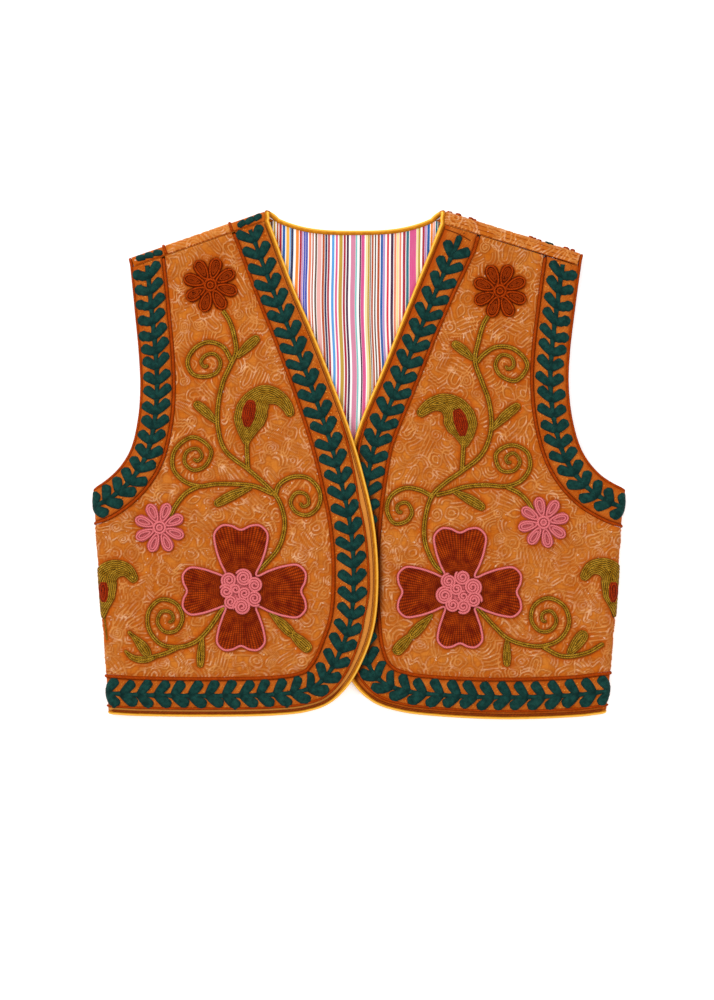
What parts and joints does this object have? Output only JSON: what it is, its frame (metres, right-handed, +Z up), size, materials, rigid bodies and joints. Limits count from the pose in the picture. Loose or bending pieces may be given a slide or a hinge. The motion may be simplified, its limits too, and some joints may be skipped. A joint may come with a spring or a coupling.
{
  "type": "embroidered waistcoat",
  "caption": "Sleeveless quilted waistcoat laid flat, its front edges lapped and curved at the hem, with banded vine borders and flower, leaf and paisley embroidery.",
  "frame": {"origin": "centre of the bounding box on the surface that the garment lies on", "axes": "+X to the wearer's left side, +Y to the neck, +Z up from the surface"},
  "size_m": [0.5345, 0.508, 0.0159],
  "materials": {
    "field_cloth": "orange cotton, padded and closely quilted",
    "band_cloth": "orange cotton twill",
    "binding": "golden satin binding",
    "rust": "rust corded piping",
    "vine_green": "dark green applied cord",
    "olive": "olive chain stitch",
    "brick": "dark red ribbed thread",
    "pink": "pink coiled thread",
    "lining": "white cotton with narrow coloured stripes"
  },
  "bodies": {
    "root": {"armhole_band_left": "band_cloth", "armhole_band_right": "band_cloth", "armhole_piping_left": "rust", "armhole_piping_right": "rust", "armhole_seam_piping_left": "rust", "armhole_seam_piping_right": "rust", "armhole_vine_left": "vine_green", "armhole_vine_right": "vine_green", "back": "field_cloth", "back_lining": "lining", "big_flower_left": "brick", "big_flower_right": "brick", "edge_binding": "binding", "flower_heart_left": "pink", "flower_heart_right": "pink", "front_band_left": "band_cloth", "front_band_right": "band_cloth", "front_left": "field_cloth", "front_piping_left": "rust", "front_piping_right": "rust", "front_right": "field_cloth", "front_vine_left": "vine_green", "front_vine_right": "vine_green", "low_leaf_left": "olive", "low_leaf_right": "olive", "lower_stems_left": "olive", "lower_stems_right": "olive", "pink_flower_left": "pink", "pink_flower_right": "pink", "rust_flower_left": "brick", "rust_flower_right": "brick", "side_paisley_left": "olive", "side_paisley_right": "olive", "upper_stems_left": "olive", "upper_stems_right": "olive"}
  },
  "joints": []
}
